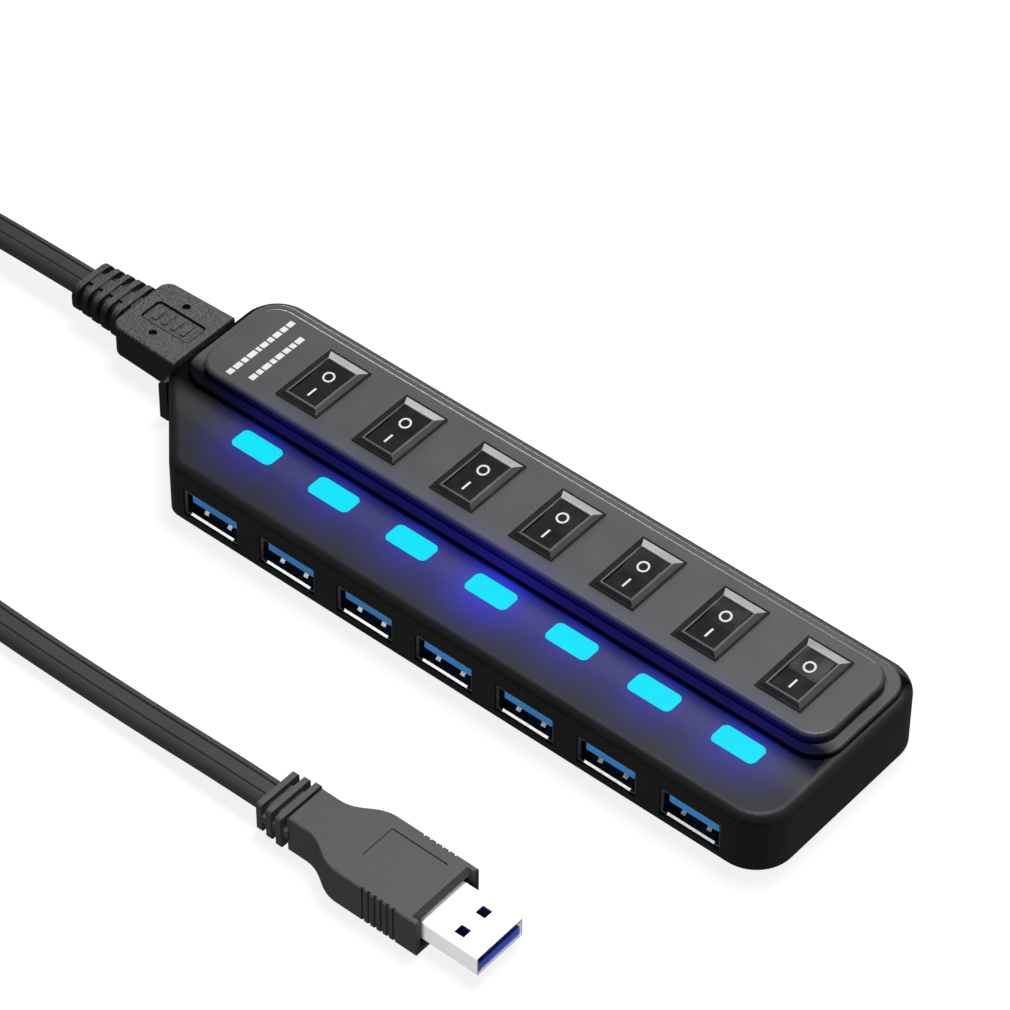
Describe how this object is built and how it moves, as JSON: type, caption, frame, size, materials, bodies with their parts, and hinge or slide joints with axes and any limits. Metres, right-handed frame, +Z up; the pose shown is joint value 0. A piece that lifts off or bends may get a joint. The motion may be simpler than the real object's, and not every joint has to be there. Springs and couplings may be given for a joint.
{
  "type": "usb hub",
  "caption": "Low black USB hub with a row of ports, each with a lit window and a rocker switch, and a detachable flat lead ending in a type A plug.",
  "frame": {"origin": "centre of the underside of the hub's bounding box, the lead left out, on the surface that its feet stand on", "axes": "+X along the hub from the lead's end to the plain end, +Y from the port face to the back, +Z up"},
  "size_m": [0.2909, 0.0989, 0.018],
  "materials": {
    "case": "fine moulded texture",
    "panel": "fine moulded texture",
    "board": "solder mask",
    "contact": "gold plated",
    "tinned_metal": "tinned",
    "led_chip": "satin",
    "chip": "matte",
    "capacitor": "shrink sleeve",
    "shell_metal": "nickel plated, satin",
    "insert_black": "satin",
    "collar": "satin",
    "screw": "blackened",
    "foot": "matte",
    "plug_grip": "spark-eroded texture",
    "plug_metal": "nickel plated",
    "insert_royal": "satin",
    "insert_blue": "satin",
    "switch_black": "polished",
    "window": "lit, frosted",
    "cord": "satin PVC jacket, ribbed",
    "tie": "hook and loop strap"
  },
  "bodies": {
    "hub": {"upper_shell": "case", "lower_shell": "case", "switch_panel": "panel", "main_board": "board", "port_shell_1": "shell_metal", "port_shell_2": "shell_metal", "port_shell_3": "shell_metal", "port_shell_4": "shell_metal", "port_shell_5": "shell_metal", "port_shell_6": "shell_metal", "port_shell_7": "shell_metal", "port_tongue_1": "insert_blue", "port_tongue_2": "insert_blue", "port_tongue_3": "insert_blue", "port_tongue_4": "insert_blue", "port_tongue_5": "insert_blue", "port_tongue_6": "insert_blue", "port_tongue_7": "insert_blue", "port_contacts": "contact", "switch_body_1": "switch_black", "switch_body_2": "switch_black", "switch_body_3": "switch_black", "switch_body_4": "switch_black", "switch_body_5": "switch_black", "switch_body_6": "switch_black", "switch_body_7": "switch_black", "switch_terminals": "tinned_metal", "led_window_1": "window", "led_window_2": "window", "led_window_3": "window", "led_window_4": "window", "led_window_5": "window", "led_window_6": "window", "led_window_7": "window", "indicator_leds": "led_chip", "hub_controllers": "chip", "crystals": "tinned_metal", "capacitors": "capacitor", "upstream_socket_shell": "shell_metal", "upstream_socket_tongue": "insert_black", "socket_collar": "collar", "housing_screws": "screw", "rubber_feet": "foot"},
    "rocker_1": {"rocker_1": "switch_black"},
    "rocker_2": {"rocker_2": "switch_black"},
    "rocker_3": {"rocker_3": "switch_black"},
    "rocker_4": {"rocker_4": "switch_black"},
    "rocker_5": {"rocker_5": "switch_black"},
    "rocker_6": {"rocker_6": "switch_black"},
    "rocker_7": {"rocker_7": "switch_black"},
    "lead": {"hub_plug_grip": "plug_grip", "hub_plug_shell": "shell_metal", "cord_run_hub": "cord", "cord_coil": "cord", "cord_tie": "tie", "cord_run_host": "cord", "host_plug_grip": "plug_grip", "host_plug_shell": "plug_metal", "host_plug_tongue": "insert_royal"}
  },
  "joints": [
    {"name": "rocker_1_tilt", "type": "hinge", "parent": "hub", "child": "rocker_1", "pos_m": [-0.0506, 0.0076, 0.01565], "axis": [-1, 0, 0], "range_deg": [0, 9]},
    {"name": "rocker_2_tilt", "type": "hinge", "parent": "hub", "child": "rocker_2", "pos_m": [-0.0316, 0.0076, 0.01565], "axis": [-1, 0, 0], "range_deg": [0, 9]},
    {"name": "rocker_3_tilt", "type": "hinge", "parent": "hub", "child": "rocker_3", "pos_m": [-0.0126, 0.0076, 0.01565], "axis": [-1, 0, 0], "range_deg": [0, 9]},
    {"name": "rocker_4_tilt", "type": "hinge", "parent": "hub", "child": "rocker_4", "pos_m": [0.0064, 0.0076, 0.01565], "axis": [-1, 0, 0], "range_deg": [0, 9]},
    {"name": "rocker_5_tilt", "type": "hinge", "parent": "hub", "child": "rocker_5", "pos_m": [0.0254, 0.0076, 0.01565], "axis": [-1, 0, 0], "range_deg": [0, 9]},
    {"name": "rocker_6_tilt", "type": "hinge", "parent": "hub", "child": "rocker_6", "pos_m": [0.0444, 0.0076, 0.01565], "axis": [-1, 0, 0], "range_deg": [0, 9]},
    {"name": "rocker_7_tilt", "type": "hinge", "parent": "hub", "child": "rocker_7", "pos_m": [0.0634, 0.0076, 0.01565], "axis": [-1, 0, 0], "range_deg": [0, 9]},
    {"name": "lead_unplug", "type": "slide", "parent": "hub", "child": "lead", "axis": [-1, 0, 0], "range_m": [0, 0.01]}
  ]
}
